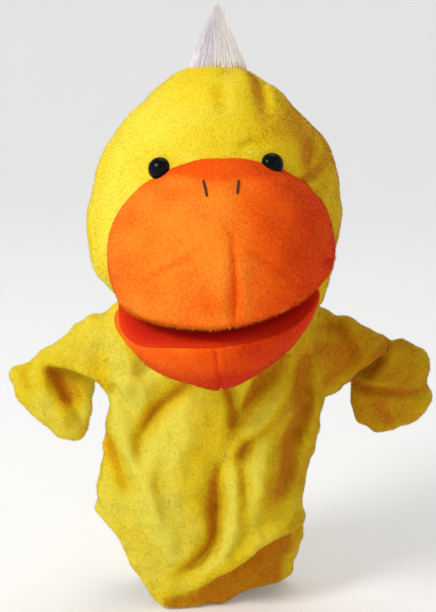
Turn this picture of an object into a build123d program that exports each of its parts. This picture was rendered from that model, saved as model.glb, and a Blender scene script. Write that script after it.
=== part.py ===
from build123d import *
import os
from math import cos, radians, sin, sqrt

# Plush duck hand puppet with a mouth that opens. Millimetres, +Z up, front towards -Y.
# The origin is the centre of the hand opening, at the lower edge of the torso.

# Cloth, card and thread
cloth = 3.0  # short-pile plush with its backing
lining = 2.0  # mouth lining and finger pocket cloth
board = 1.5  # stiff plates in the mouth
thread_radius = 0.9  # nostril embroidery
gap = 0.4  # running gap between bodies that move on each other

# Torso: height, half width and half depth of each section
torso_sections = [
    (0, 50, 33),
    (60, 70, 33),
    (110, 67, 29),
    (150, 66, 26),
    (180, 56, 25),
]
torso_top = torso_sections[-1][0]
hem_height = 12

# Neck
neck_half_width = 54
neck_half_depth = 25
neck_rim = 200  # before the rim is hollowed out under the head
nod_axis_height = 192
nod_range = (-15, 10)
head_swing_gap = 1.5

# Head
head_radius = 77
head_centre = (0, -12, 262)
head_back_seam = 25
hand_space_width = 84
hand_space_depth = 75
hand_space_centre = -14
hand_space_top = 245
hand_space_corner = 14

# Beak and mouth
fold_y = -54
fold_z = 212
beak_centre = (0, -57, 235)
beak_half_width = 67
beak_radius = 64
jaw_half_width = 62
jaw_reach = 60
jaw_rest_angle = 12
jaw_sweep = 64
jaw_clear_reach = 62
jaw_clear_half_width = 66
jaw_clear_sweep = 108

# Finger pocket in the upper beak, thumb pocket in the lower one
finger_width = 84
finger_height = 24
finger_length = 42
thumb_width = 30
thumb_height = 20
thumb_start = 12
thumb_length = 36
pocket_corner = 9

# Eyes: domed buttons on shanks with a locking washer
eye_radius = 6
eye_dome = 5
dome_radius = (eye_radius**2 + eye_dome**2) / (2 * eye_dome)
eye_x = 32.5
eye_z = 293.5
shank_radius = 1.8
shank_length = 10
washer_radius = 6.5
washer_thickness = 1.5
washer_depth = 3.6

# Nostrils
nostril_x = 8.5
nostril_angles = (43, 53)
nostril_lift = 1.5

# Tuft of long pile on the crown
tuft_base = 15
tuft_tip = 1.5
tuft_foot = 334
tuft_height = 45

# Arms: each sleeve turns in a round armhole, each hand folds at a pinched wrist
shoulder = (74, 163)
shoulder_radius = 26
armhole_gap = 0.6
armhole_side_room = 3
wrist = (98, 148)
wrist_radius = 18
sleeve_half_depth = 14
sleeve_round = 8
wrist_setback = 4
tongue_length = 7.4
tongue_width = 22
tongue_thickness = 2
upper_lobe = (117, 155)
upper_lobe_radius = 15
lower_lobe = (107, 132)
lower_lobe_radius = 19
hand_half_depth = 11
hand_round = 5

far = 400  # larger than the puppet, for cutting tools

fold_axis = Axis((0, fold_y, fold_z), (1, 0, 0))


# Shapes shared by several pieces


def ball(centre, radius):
    """Solid ball."""
    with BuildPart(Plane(centre)) as shape:
        Sphere(radius)
    return shape.part


def block(low, high):
    """Solid block between two opposite corners."""
    size = [b - a for a, b in zip(low, high)]
    with BuildPart(Plane(low)) as shape:
        Box(*size, align=(Align.MIN, Align.MIN, Align.MIN))
    return shape.part


def fold_plane(angle):
    """Plane through the mouth fold that dips forward by an angle."""
    tilt = radians(angle)
    return Plane((0, fold_y, fold_z), x_dir=(1, 0, 0), z_dir=(0, -sin(tilt), cos(tilt)))


def fold_wedge(half_width, reach, start, sweep):
    """Half oval swung downwards about the mouth fold."""
    with BuildPart() as shape:
        with BuildSketch(fold_plane(start)):
            Ellipse(half_width, reach)
            Rectangle(2 * half_width, reach, align=(Align.CENTER, Align.MIN), mode=Mode.SUBTRACT)
        revolve(axis=fold_axis, revolution_arc=sweep)
    return shape.part


def beak_dome(inset):
    """Rounded body of the upper beak, before it is cut to the head and the mouth."""
    half_width = beak_half_width - inset
    radius = beak_radius - inset
    with BuildPart() as shape:
        for turn in (0, 180):
            with BuildSketch(Plane(beak_centre).rotated((turn, 0, 0))):
                Ellipse(half_width, radius)
                Rectangle(
                    2 * half_width, radius, align=(Align.CENTER, Align.MIN), mode=Mode.SUBTRACT
                )
            # The two half turns keep a face each, so that later cuts stay exact
            revolve(axis=Axis(beak_centre, (1, 0, 0)), revolution_arc=180, clean=False)
    return shape.part


def torso_body(inset):
    """Lofted torso, made smaller all round by an inset."""
    with BuildPart() as shape:
        for height, half_width, half_depth in torso_sections:
            with BuildSketch(Plane.XY.offset(height)):
                Ellipse(half_width - inset, half_depth - inset)
        loft()
    return shape.part


def swung(centre, angle):
    """A point of the head's middle plane after the head has nodded by an angle."""
    turn = radians(angle)
    height = centre[2] - nod_axis_height
    return (
        centre[0],
        centre[1] * cos(turn) - height * sin(turn),
        nod_axis_height + centre[1] * sin(turn) + height * cos(turn),
    )


mouth_slab_top = fold_z + lining + board

# Room that the jaw needs over its whole travel
jaw_room = fold_wedge(jaw_clear_half_width, jaw_clear_reach, 0, jaw_clear_sweep)

# Room for the hand: up through the neck into the head, then forward into the beak
finger_mid = mouth_slab_top + finger_height / 2
hand_front = hand_space_centre - hand_space_depth / 2
with BuildPart() as hand_room:
    with BuildSketch(Plane((0, hand_space_centre, 0))):
        RectangleRounded(hand_space_width, hand_space_depth, hand_space_corner)
    extrude(amount=hand_space_top)
with BuildPart() as finger_blank:
    with BuildSketch(Plane((0, hand_front, finger_mid), x_dir=(1, 0, 0), z_dir=(0, -1, 0))):
        RectangleRounded(finger_width, finger_height, pocket_corner)
    extrude(amount=finger_length)

head_ball = ball(head_centre, head_radius)
head_core = ball(head_centre, head_radius - cloth)
beak_outer = beak_dome(0)
beak_core = beak_dome(cloth)
above_mouth = block((-far, -far, fold_z), (far, far, far))
above_slab = block((-far, -far, mouth_slab_top), (far, far, far))
mouth_slab = block((-far, -far, fold_z), (far, fold_y, mouth_slab_top))


def eye_plane(side):
    """Plane that touches the head at an eye, facing outwards."""
    x = side * eye_x
    rise = eye_z - head_centre[2]
    forward = sqrt(head_radius**2 - x**2 - rise**2)
    point = (x, head_centre[1] - forward, eye_z)
    return Plane(point, z_dir=(x, -forward, rise))


def eye_room(side):
    """Space that an eye, its shank and its washer take out of the stuffing and the covers."""
    with BuildPart(eye_plane(side)) as shape:
        Cylinder(eye_radius + gap, eye_dome + gap, align=(Align.CENTER, Align.CENTER, Align.MIN))
        with Locations((0, 0, -shank_length)):
            Cylinder(shank_radius, shank_length, align=(Align.CENTER, Align.CENTER, Align.MIN))
        with Locations((0, 0, -washer_depth - washer_thickness)):
            Cylinder(washer_radius, washer_thickness, align=(Align.CENTER, Align.CENTER, Align.MIN))
    return shape.part


sides = {"left": -1, "right": 1}
eye_rooms = [eye_room(side) for side in sides.values()]

# Torso: a front and a back panel joined at the side seams, with round armholes
armholes = []
for side in sides.values():
    with BuildPart() as armhole:
        with BuildSketch(Plane((side * shoulder[0], 0, shoulder[1]), z_dir=(0, 1, 0))):
            Circle(shoulder_radius + armhole_gap)
        extrude(amount=sleeve_half_depth + armhole_side_room, both=True)
    armholes.append(armhole.part)

torso_outer = torso_body(0)
torso_inner = torso_body(cloth)


def torso_panel(keep):
    """Half of the torso shell, on one side of the side seams."""
    with BuildPart() as shape:
        add(torso_outer)
        add(torso_inner, mode=Mode.SUBTRACT)
        for hole in armholes:
            add(hole, mode=Mode.SUBTRACT)
        split(bisect_by=Plane.XZ, keep=keep)
    return shape


torso_front_panel = torso_panel(Keep.TOP)
torso_back_panel = torso_panel(Keep.BOTTOM)

with BuildPart() as hem_band:
    add(torso_inner)
    add(torso_body(cloth + lining), mode=Mode.SUBTRACT)
    add(block((-far, -far, 0), (far, far, hem_height)), mode=Mode.INTERSECT)

# Neck: a cloth tube whose rim is hollowed to let the head nod over it
with BuildPart() as neck_tube:
    with BuildSketch(Plane.XY.offset(torso_top + gap)):
        Ellipse(neck_half_width, neck_half_depth)
        Ellipse(neck_half_width - cloth, neck_half_depth - cloth, mode=Mode.SUBTRACT)
    extrude(amount=neck_rim - torso_top - gap)
    for nod in (nod_range[0], nod_range[0] / 2, 0, nod_range[1] / 2, nod_range[1]):
        add(ball(swung(head_centre, nod), head_radius + head_swing_gap), mode=Mode.SUBTRACT)

# Head: three cover panels over stuffing, hollow where the hand goes
with BuildPart() as head_shell:
    add(head_ball)
    add(head_core, mode=Mode.SUBTRACT)
    add(beak_outer, mode=Mode.SUBTRACT)
    add(jaw_room, mode=Mode.SUBTRACT)
    add(hand_room.part, mode=Mode.SUBTRACT)
    for room in eye_rooms:
        add(room, mode=Mode.SUBTRACT)


def head_panel(low, high):
    """Part of the head cover inside a block."""
    with BuildPart() as shape:
        add(head_shell.part)
        add(block(low, high), mode=Mode.INTERSECT)
    return shape


head_cover_left = head_panel((-far, -far, 0), (0, head_back_seam, far))
head_cover_right = head_panel((0, -far, 0), (far, head_back_seam, far))
head_cover_back = head_panel((-far, head_back_seam, 0), (far, far, far))

with BuildPart() as head_stuffing:
    add(head_core)
    add(jaw_room, mode=Mode.SUBTRACT)
    add(mouth_slab, mode=Mode.SUBTRACT)
    add(hand_room.part, mode=Mode.SUBTRACT)
    add(finger_blank.part, mode=Mode.SUBTRACT)
    for room in eye_rooms:
        add(room, mode=Mode.SUBTRACT)

# Upper beak: two cover halves, stuffing, mouth plate and lining, and the finger pocket
with BuildPart() as beak_shell:
    add(beak_outer)
    add(beak_core, mode=Mode.SUBTRACT)
    add(head_ball, mode=Mode.SUBTRACT)
    add(above_mouth, mode=Mode.INTERSECT)
    for room in eye_rooms:
        add(room, mode=Mode.SUBTRACT)


def half_of(whole, keep):
    """Half of a shell, on one side of the middle seam."""
    with BuildPart() as shape:
        add(whole)
        split(bisect_by=Plane.YZ, keep=keep)
    return shape


upper_beak_cover_left = half_of(beak_shell.part, Keep.BOTTOM)
upper_beak_cover_right = half_of(beak_shell.part, Keep.TOP)

with BuildPart() as upper_beak_stuffing:
    add(beak_core)
    add(above_slab, mode=Mode.INTERSECT)
    add(head_core, mode=Mode.SUBTRACT)
    add(finger_blank.part, mode=Mode.SUBTRACT)

with BuildPart() as upper_palate_lining:
    add(beak_core)
    add(block((-far, -far, fold_z), (far, fold_y, fold_z + lining)), mode=Mode.INTERSECT)

with BuildPart() as upper_mouth_board:
    add(beak_core)
    add(block((-far, -far, fold_z + lining), (far, fold_y, mouth_slab_top)), mode=Mode.INTERSECT)

with BuildPart() as finger_pocket:
    add(finger_blank.part)
    with BuildSketch(Plane((0, hand_front, finger_mid), x_dir=(1, 0, 0), z_dir=(0, -1, 0))):
        RectangleRounded(
            finger_width - 2 * lining, finger_height - 2 * lining, pocket_corner - lining
        )
    extrude(amount=finger_length - lining, mode=Mode.SUBTRACT)

# Lower beak: swings about the mouth fold
jaw_outer = fold_wedge(jaw_half_width, jaw_reach, jaw_rest_angle, jaw_sweep)
jaw_core = fold_wedge(jaw_half_width - cloth, jaw_reach - cloth, jaw_rest_angle, jaw_sweep)
jaw_plane = fold_plane(jaw_rest_angle)


def jaw_layer(depth, thickness):
    """Flat layer under the jaw's upper face, inside the cover."""
    with BuildPart(jaw_plane) as slab:
        with Locations((0, 0, -depth)):
            Box(far, far, thickness, align=(Align.CENTER, Align.CENTER, Align.MAX))
    with BuildPart() as shape:
        add(jaw_core)
        add(slab.part, mode=Mode.INTERSECT)
    return shape


with BuildPart() as jaw_shell:
    add(jaw_outer)
    add(jaw_core, mode=Mode.SUBTRACT)

lower_beak_cover_left = half_of(jaw_shell.part, Keep.BOTTOM)
lower_beak_cover_right = half_of(jaw_shell.part, Keep.TOP)
lower_palate_lining = jaw_layer(0, lining)
lower_mouth_board = jaw_layer(lining, board)


def thumb_block(inset):
    """Body of the thumb pocket, lying under the lower mouth plate, open at the back."""
    depth = lining + board + thumb_height / 2
    mouth_of_pocket = jaw_plane.from_local_coords((0, -thumb_start, -depth))
    outlook = jaw_plane.y_dir * -1
    with BuildPart() as shape:
        with BuildSketch(Plane(mouth_of_pocket, x_dir=(1, 0, 0), z_dir=outlook)):
            RectangleRounded(
                thumb_width - 2 * inset, thumb_height - 2 * inset, pocket_corner - inset
            )
        extrude(amount=thumb_length - inset)
    return shape.part


thumb_blank = thumb_block(0)
thumb_mouth = jaw_plane.from_local_coords((0, -thumb_start, -lining - board))
with BuildPart() as thumb_pocket:
    add(thumb_blank)
    add(thumb_block(lining), mode=Mode.SUBTRACT)

with BuildPart() as lower_beak_stuffing:
    add(jaw_core)
    add(lower_palate_lining.part, mode=Mode.SUBTRACT)
    add(lower_mouth_board.part, mode=Mode.SUBTRACT)
    add(thumb_blank, mode=Mode.SUBTRACT)
    with BuildSketch(Plane(thumb_mouth, x_dir=(1, 0, 0), z_dir=jaw_plane.y_dir)):
        Rectangle(thumb_width, 2 * thumb_height)
    extrude(amount=thumb_start + thumb_height, mode=Mode.SUBTRACT)

# Eyes and their washers
eyes = {}
washers = {}
for name, side in sides.items():
    with BuildPart(eye_plane(side)) as eye:
        with Locations((0, 0, eye_dome - dome_radius)):
            Sphere(dome_radius)
        Box(far, far, far, align=(Align.CENTER, Align.CENTER, Align.MAX), mode=Mode.SUBTRACT)
        with Locations((0, 0, -shank_length)):
            Cylinder(shank_radius, shank_length, align=(Align.CENTER, Align.CENTER, Align.MIN))
    eyes[name] = eye
    with BuildPart(eye_plane(side)) as washer:
        with Locations((0, 0, -washer_depth - washer_thickness)):
            Cylinder(washer_radius, washer_thickness, align=(Align.CENTER, Align.CENTER, Align.MIN))
            Cylinder(shank_radius, washer_thickness, align=(Align.CENTER, Align.CENTER, Align.MIN),
                     mode=Mode.SUBTRACT)
    washers[name] = washer


def nostril_point(side, angle):
    """Point just proud of the upper beak, at an angle below its crown."""
    reach = beak_radius * sqrt(1 - (nostril_x / beak_half_width) ** 2) + nostril_lift
    turn = radians(angle)
    return Vector(
        side * nostril_x, beak_centre[1] - reach * sin(turn), beak_centre[2] + reach * cos(turn)
    )


nostrils = {}
for name, side in sides.items():
    start = nostril_point(side, nostril_angles[0])
    end = nostril_point(side, nostril_angles[1])
    with BuildPart(Plane(start, z_dir=end - start)) as nostril:
        Cylinder(thread_radius, (end - start).length,
                 align=(Align.CENTER, Align.CENTER, Align.MIN))
        fillet(nostril.edges().filter_by(GeomType.CIRCLE), thread_radius / 2)
    nostrils[name] = nostril

# Tuft on the crown, seated on the head
with BuildPart(Plane((0, head_centre[1], tuft_foot))) as tuft_cone:
    Cone(tuft_base, tuft_tip, tuft_height, align=(Align.CENTER, Align.CENTER, Align.MIN))
with BuildPart() as tuft:
    add(tuft_cone.part)
    add(head_ball, mode=Mode.SUBTRACT)

# Arms
arm_run = (wrist[0] - shoulder[0], wrist[1] - shoulder[1])


def wrist_plane(side):
    """Plane across the wrist, facing along the arm towards the hand."""
    return Plane(
        (side * wrist[0], 0, wrist[1]), x_dir=(0, 1, 0), z_dir=(side * arm_run[0], 0, arm_run[1])
    )


def beyond_wrist(side, start):
    """Large block on the hand's side of the wrist."""
    with BuildPart(wrist_plane(side)) as shape:
        with Locations((0, 0, start)):
            Box(far, far, far, align=(Align.CENTER, Align.CENTER, Align.MIN))
    return shape.part


def front_plane(side):
    """Upright plane seen from the front, with its horizontal axis pointing out along the arm."""
    return Plane((0, 0, 0), x_dir=(side, 0, 0), z_dir=(0, -side, 0))


def sleeve_blank(side, inset):
    """Tapering flat sleeve with rounded edges."""
    with BuildPart() as shape:
        with BuildSketch(front_plane(side)):
            with Locations(shoulder):
                Circle(shoulder_radius - inset)
            with Locations(wrist):
                Circle(wrist_radius - inset)
            make_hull()
        extrude(amount=sleeve_half_depth - inset, both=True)
        rims = shape.edges().group_by(Axis.Y)
        fillet(rims[0] + rims[-1], sleeve_round - inset)
        add(beyond_wrist(side, -wrist_setback - inset), mode=Mode.SUBTRACT)
    return shape.part


def hand_blank(side, inset):
    """Flat mitten hand with two round lobes, its outer edges rounded."""
    with BuildPart() as shape:
        with BuildSketch(front_plane(side)):
            with Locations(upper_lobe):
                Circle(upper_lobe_radius - inset)
            with Locations(wrist):
                Circle(wrist_radius - inset)
            make_hull()
            with Locations(lower_lobe):
                Circle(lower_lobe_radius - inset)
        extrude(amount=hand_half_depth - inset, both=True)
        if inset == 0:
            rims = shape.edges().group_by(Axis.Y)
            fillet(rims[0] + rims[-1], hand_round)
        add(beyond_wrist(side, wrist_setback + inset), mode=Mode.INTERSECT)
    return shape.part


arm_pieces = {}
for name, side in sides.items():
    with BuildPart(wrist_plane(side)) as tongue:
        with Locations((0, 0, -wrist_setback)):
            Box(tongue_thickness, tongue_width, tongue_length,
                align=(Align.CENTER, Align.CENTER, Align.MIN))
    with BuildPart() as sleeve:
        add(sleeve_blank(side, 0))
        add(sleeve_blank(side, cloth), mode=Mode.SUBTRACT)
        add(tongue.part)
    with BuildPart() as sleeve_filling:
        add(sleeve_blank(side, cloth))
    with BuildPart() as hand_cover:
        add(hand_blank(side, 0))
        add(hand_blank(side, cloth), mode=Mode.SUBTRACT)
    with BuildPart() as hand_filling:
        add(hand_blank(side, cloth))
    arm_pieces["sleeve_cover_" + name] = sleeve
    arm_pieces["sleeve_filling_" + name] = sleeve_filling
    arm_pieces["hand_cover_" + name] = hand_cover
    arm_pieces["hand_filling_" + name] = hand_filling

# Every piece, labelled and written as one file each
pieces = {
    "torso_front_panel": torso_front_panel,
    "torso_back_panel": torso_back_panel,
    "hem_band": hem_band,
    "neck_tube": neck_tube,
    "head_cover_left": head_cover_left,
    "head_cover_right": head_cover_right,
    "head_cover_back": head_cover_back,
    "head_stuffing": head_stuffing,
    "upper_beak_cover_left": upper_beak_cover_left,
    "upper_beak_cover_right": upper_beak_cover_right,
    "upper_beak_stuffing": upper_beak_stuffing,
    "upper_palate_lining": upper_palate_lining,
    "upper_mouth_board": upper_mouth_board,
    "finger_pocket": finger_pocket,
    "lower_beak_cover_left": lower_beak_cover_left,
    "lower_beak_cover_right": lower_beak_cover_right,
    "lower_beak_stuffing": lower_beak_stuffing,
    "lower_palate_lining": lower_palate_lining,
    "lower_mouth_board": lower_mouth_board,
    "thumb_pocket": thumb_pocket,
    "eye_left": eyes["left"],
    "eye_right": eyes["right"],
    "eye_washer_left": washers["left"],
    "eye_washer_right": washers["right"],
    "nostril_stitch_left": nostrils["left"],
    "nostril_stitch_right": nostrils["right"],
    "tuft": tuft,
    **arm_pieces,
}

os.makedirs("parts", exist_ok=True)
for name, piece in pieces.items():
    piece.part.label = name
    export_step(piece.part, f"parts/{name}.step")
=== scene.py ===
import math

import bpy
import numpy as np
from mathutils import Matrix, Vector


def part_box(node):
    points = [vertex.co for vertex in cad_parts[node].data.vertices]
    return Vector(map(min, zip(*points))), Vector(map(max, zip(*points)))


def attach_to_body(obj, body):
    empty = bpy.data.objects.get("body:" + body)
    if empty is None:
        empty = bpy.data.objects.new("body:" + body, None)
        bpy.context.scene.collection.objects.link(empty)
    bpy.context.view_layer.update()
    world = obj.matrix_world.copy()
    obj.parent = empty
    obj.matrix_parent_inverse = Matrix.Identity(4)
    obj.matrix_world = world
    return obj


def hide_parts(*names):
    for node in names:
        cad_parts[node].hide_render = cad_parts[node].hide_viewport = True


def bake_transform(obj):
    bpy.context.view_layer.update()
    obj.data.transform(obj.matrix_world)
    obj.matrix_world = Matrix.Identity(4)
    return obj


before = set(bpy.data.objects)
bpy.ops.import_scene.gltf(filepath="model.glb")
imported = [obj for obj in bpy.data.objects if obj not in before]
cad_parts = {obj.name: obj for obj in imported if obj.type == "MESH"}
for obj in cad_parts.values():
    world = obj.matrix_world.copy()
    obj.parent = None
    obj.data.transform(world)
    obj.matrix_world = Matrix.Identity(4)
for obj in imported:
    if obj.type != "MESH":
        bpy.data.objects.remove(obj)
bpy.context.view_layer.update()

# Lengths below are in millimetres, in the part's frame. Meshes are written in metres.
MM = 0.001


def node_box(node):
    """Lowest and highest corner of a CAD node, in millimetres."""
    low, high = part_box(node)
    return np.array(low) / MM, np.array(high) / MM


head_back = node_box("head_cover_back")[1][1]
head_half = node_box("head_cover_right")[1][0]
head_y = head_back - head_half
crown = node_box("head_cover_left")[1][2]
beak_half = node_box("upper_beak_cover_right")[1][0]
beak_front = node_box("upper_beak_cover_left")[0][1]
fold_y, fold_z = -54.0, 212.0


# ---------------------------------------------------------------- small maths


def smoothstep(value, low, high):
    t = np.clip((value - low) / (high - low), 0.0, 1.0)
    return t * t * (3.0 - 2.0 * t)


def soft_min(a, b, k):
    h = np.clip(0.5 + 0.5 * (b - a) / k, 0.0, 1.0)
    return b + (a - b) * h - k * h * (1.0 - h)


def soft_max(a, b, k):
    return -soft_min(-a, -b, k)


def ellipsoid(p, centre, radii):
    """Roughly the signed distance to an ellipsoid. radii may hold one row per point."""
    q = (p - np.array(centre, np.float32)) / radii
    k0 = np.linalg.norm(q, axis=1)
    k1 = np.linalg.norm(q / radii, axis=1)
    return k0 * (k0 - 1.0) / np.maximum(k1, 1e-6)


def rounded(p, centre, radii, power):
    """Like ellipsoid, with a plan that is more pointed when power is under 2."""
    q = np.abs(p - np.array(centre, np.float32)) / radii
    plan = (q[:, 0] ** power + q[:, 1] ** power) ** (2 / power)
    k0 = np.sqrt(plan + q[:, 2] ** 2)
    k1 = np.linalg.norm(q / radii, axis=1)
    return k0 * (k0 - 1.0) / np.maximum(k1, 1e-6)


def unit(rows, least=1e-9):
    """Each row scaled to length 1. Rows shorter than least stay short."""
    return rows / np.maximum(np.linalg.norm(rows, axis=1)[:, None], least)


def span(a, b, c, d, count):
    """Points on a smooth curve from b towards c, with a and d as the points beyond."""
    t = np.linspace(0, 1, count, endpoint=False)[:, None]
    bend = (2 * a - 5 * b + 4 * c - d) * t * t + (3 * b - a - 3 * c + d) * t**3
    return 0.5 * (2 * b + (c - a) * t + bend)


def curve_through(points, per_span=6):
    """Points along a smooth curve through the given ones."""
    pts = np.array(points, float)
    ext = np.vstack([2 * pts[0] - pts[1], pts, 2 * pts[-1] - pts[-2]])
    return np.vstack([span(*ext[i : i + 4], per_span) for i in range(len(pts) - 1)] + [pts[-1:]])


def loop_through(points, per_span=6):
    """Points along a smooth closed curve."""
    pts = np.array(points, float)
    return np.vstack([span(*np.roll(pts, 1 - i, axis=0)[:4], per_span) for i in range(len(pts))])


def run_along(line):
    """Length along a polyline up to each of its points."""
    return np.concatenate([[0], np.cumsum(np.linalg.norm(np.diff(line, axis=0), axis=1))])


def to_line(q, line):
    """Distance from points q to a polyline, and how far along it the nearest point is, 0 to 1."""
    best = np.full(len(q), 1e9)
    along = np.zeros(len(q))
    run = run_along(line)
    for i, (a, b) in enumerate(zip(line[:-1], line[1:])):
        ab = b - a
        t = np.clip(((q - a) @ ab) / max(ab @ ab, 1e-9), 0, 1)
        d = np.linalg.norm(q - (a + t[:, None] * ab), axis=1)
        near = d < best
        best = np.where(near, d, best)
        along = np.where(near, (run[i] + t * (run[i + 1] - run[i])) / run[-1], along)
    return best, along


class Plan:
    """A value over the front plane, x across and z up, read with linear interpolation."""

    def __init__(self, low, high, step=1.0):
        self.low, self.step = np.array(low, float), step
        nx, nz = (int((b - a) / step) + 2 for a, b in zip(low, high))
        axes = np.arange(nx) * step + low[0], np.arange(nz) * step + low[1]
        x, z = np.meshgrid(*axes, indexing="ij")
        self.shape = (nx, nz)
        self.points = np.stack([x.ravel(), z.ravel()], 1)
        self.value = np.zeros(nx * nz)

    def folds(self, lines):
        """Adds creases and ridges: (points, height, half width). A height below 0 is a valley."""
        for points, height, width in lines:
            d, t = to_line(self.points, curve_through(points))
            taper = np.sqrt(np.clip(np.sin(np.pi * np.clip(t * 0.94 + 0.03, 0, 1)), 0, 1))
            self.value += height * taper * np.exp(-((d / width) ** 2))
        return self

    def outline(self, points):
        """Signed distance to a smooth closed outline, below 0 inside."""
        line = loop_through(points)
        closed = np.vstack([line, line[:1]])
        d, _ = to_line(self.points, closed)
        x, z = self.points.T
        inside = np.zeros(len(x), bool)
        for (ax, az), (bx, bz) in zip(closed[:-1], closed[1:]):
            crosses = (az > z) != (bz > z)
            at = ax + (z - az) * (bx - ax) / (bz - az if abs(bz - az) > 1e-9 else 1e-9)
            inside ^= crosses & (x < at)
        self.value = np.where(inside, -d, d)
        return self

    def at(self, x, z):
        g = self.value.reshape(self.shape)
        u = np.clip((x - self.low[0]) / self.step, 0, self.shape[0] - 1.001)
        v = np.clip((z - self.low[1]) / self.step, 0, self.shape[1] - 1.001)
        i, j = u.astype(int), v.astype(int)
        u, v = u - i, v - j
        return (
            g[i, j] * (1 - u) * (1 - v)
            + g[i + 1, j] * u * (1 - v)
            + g[i, j + 1] * (1 - u) * v
            + g[i + 1, j + 1] * u * v
        )


class Lumps:
    """Smooth random lumps: a sum of waves of about one length."""

    def __init__(self, seed, length, waves=14):
        rng = np.random.default_rng(seed)
        k = rng.normal(size=(waves, 3))
        k /= np.linalg.norm(k, axis=1)[:, None]
        self.k = k * (2 * np.pi / length) * rng.uniform(0.6, 1.5, (waves, 1))
        self.phase = rng.uniform(0, 2 * np.pi, waves)
        self.scale = 1.6 / np.sqrt(waves)

    def at(self, p):
        return np.sin(p @ self.k.T + self.phase).sum(1) * self.scale


# ------------------------------------------------------- meshing a solid field


def polygonise(field, low, high, step, smooth=2):
    """Quads on the surface where field is 0, even and then pulled onto it exactly."""
    axes = [np.arange(a, b + step, step, dtype=np.float32) for a, b in zip(low, high)]
    shape = tuple(len(a) for a in axes)
    values = np.empty(shape, np.float32)
    y, z = np.meshgrid(axes[1], axes[2], indexing="ij")
    yz = np.stack([y.ravel(), z.ravel()], 1)
    block = 6
    for i in range(0, shape[0], block):
        xs = axes[0][i : i + block]
        p = np.empty((len(xs) * len(yz), 3), np.float32)
        p[:, 0] = np.repeat(xs, len(yz))
        p[:, 1:] = np.tile(yz, (len(xs), 1))
        values[i : i + block] = field(p).reshape(len(xs), shape[1], shape[2])
    inside = values < 0
    count = np.zeros(tuple(s - 1 for s in shape), np.uint8)
    for corner in np.ndindex(2, 2, 2):
        count += inside[tuple(slice(d, n - 1 + d) for d, n in zip(corner, shape))]
    cells = np.argwhere((count > 0) & (count < 8))
    index = np.full(count.shape, -1, np.int64)
    index[tuple(cells.T)] = np.arange(len(cells))
    total = np.zeros((len(cells), 3))
    hits = np.zeros(len(cells))
    for axis in range(3):
        for ends in np.ndindex(2, 2):
            a = np.insert(ends, axis, 0)
            b = np.insert(ends, axis, 1)
            va = values[tuple((cells + a).T)]
            vb = values[tuple((cells + b).T)]
            cross = (va < 0) != (vb < 0)
            t = va / np.where(cross, va - vb, 1.0)
            total[cross] += (a + t[:, None] * (b - a))[cross]
            hits[cross] += 1
    verts = (cells + total / hits[:, None]) * step + np.array([a[0] for a in axes])
    faces = []
    for axis in range(3):
        others = [k for k in range(3) if k != axis]
        lo = [slice(None)] * 3
        hi = [slice(None)] * 3
        lo[axis], hi[axis] = slice(0, -1), slice(1, None)
        change = inside[tuple(lo)] != inside[tuple(hi)]
        g = np.argwhere(change)
        ok = np.ones(len(g), bool)
        for k in others:
            ok &= (g[:, k] >= 1) & (g[:, k] <= shape[k] - 2)
        g = g[ok]
        flip = inside[tuple(g.T)]
        ring = []
        for du, dv in ((-1, -1), (0, -1), (0, 0), (-1, 0)):
            c = g.copy()
            c[:, others[0]] += du
            c[:, others[1]] += dv
            ring.append(index[tuple(c.T)])
        quad = np.stack(ring, 1)
        if axis == 1:
            flip = ~flip
        quad[~flip] = quad[~flip][:, ::-1]
        faces.append(quad)
    faces = np.vstack(faces)
    verts = relax(verts, faces, smooth)
    for _ in range(3):
        verts = onto(field, verts, step)
    return verts, faces


def relax(verts, faces, rounds):
    """Moves each point towards the middle of its neighbours."""
    pairs = np.vstack([faces[:, [i, (i + 1) % 4]] for i in range(4)])
    pairs = np.vstack([pairs, pairs[:, ::-1]])
    n = len(verts)
    number = np.maximum(np.bincount(pairs[:, 0], minlength=n), 1)[:, None]
    for _ in range(rounds):
        near = np.stack(
            [np.bincount(pairs[:, 0], verts[pairs[:, 1], k], minlength=n) for k in range(3)], 1
        )
        verts = verts * 0.5 + near / number * 0.5
    return verts


def gradient(field, verts, h=0.35):
    g = np.empty((len(verts), 3))
    for k in range(3):
        d = np.zeros(3)
        d[k] = h
        g[:, k] = (field(verts + d) - field(verts - d)) / (2 * h)
    return g


def onto(field, verts, most):
    """Moves points onto the surface of the field, each by no more than a step."""
    g = gradient(field, verts)
    size = np.maximum((g * g).sum(1), 0.05)
    move = -g * (field(verts) / size)[:, None]
    length = np.linalg.norm(move, axis=1)[:, None]
    return verts + move * np.minimum(1.0, most / np.maximum(length, 1e-9))


def normals_of(verts, faces):
    a, b, c, d = (verts[faces[:, i]] for i in range(4))
    n = np.cross(c - a, d - b)
    out = np.zeros_like(verts)
    for i in range(4):
        for k in range(3):
            out[:, k] += np.bincount(faces[:, i], n[:, k], minlength=len(verts))
    return unit(out, 1e-12)


# ---------------------------------------------------------------- mesh objects


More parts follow.
